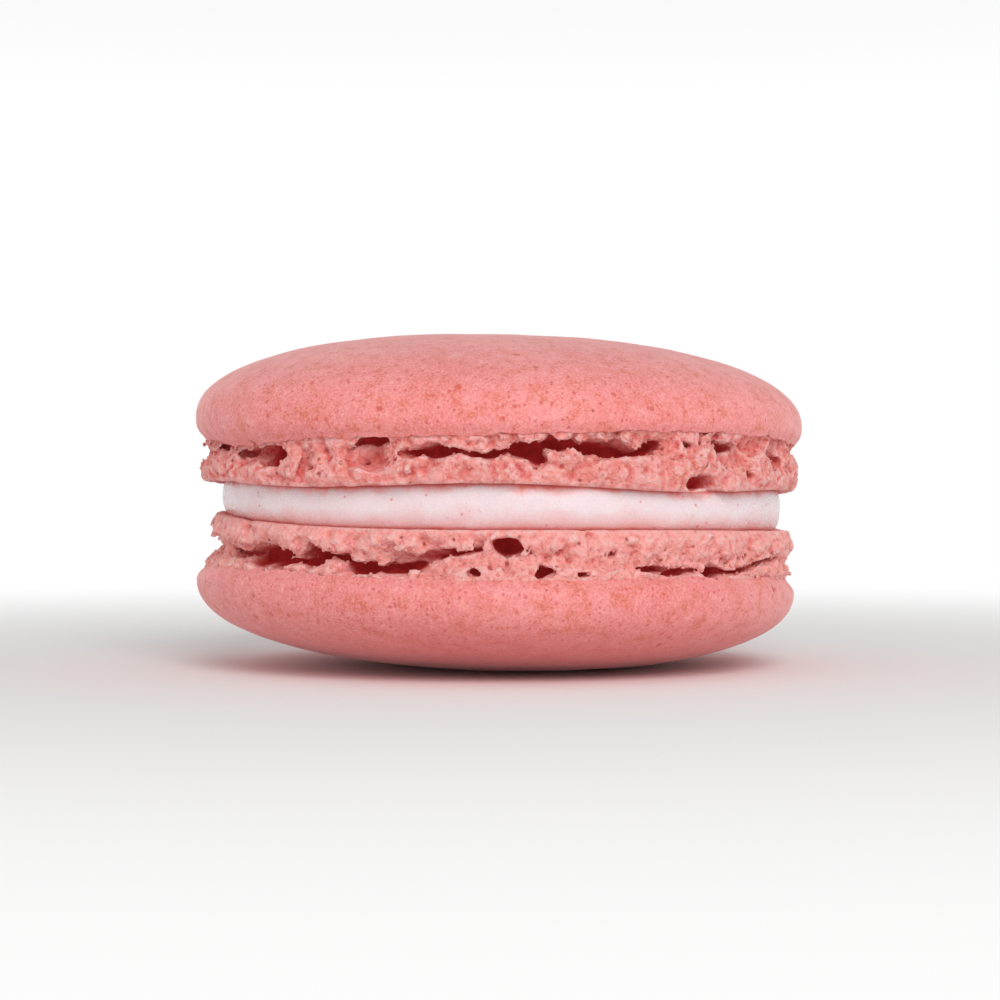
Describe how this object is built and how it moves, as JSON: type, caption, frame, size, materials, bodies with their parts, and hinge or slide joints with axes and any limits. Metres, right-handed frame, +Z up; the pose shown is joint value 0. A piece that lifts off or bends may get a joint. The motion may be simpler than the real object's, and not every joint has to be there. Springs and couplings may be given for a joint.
{
  "type": "french macaron",
  "caption": "Round pink almond-meringue biscuit sandwich: domed shells with craggy feet, crowns outwards, holding a layer of pale whipped cream.",
  "frame": {"origin": "on the surface the macaron stands on, under the middle of its bounding box", "axes": "+Z up through both shells, the short way; the front faces -Y, and +X is to its right"},
  "size_m": [0.0451, 0.0451, 0.0246],
  "materials": {
    "shell": "matte baked almond meringue, salmon pink, with faint darker specks and a crumbly foot",
    "filling": "softly shining whipped cream, very pale pink, with tiny bubbles"
  },
  "bodies": {
    "root": {"shell_lower": "shell", "filling": "filling", "shell_upper": "shell"}
  },
  "joints": []
}
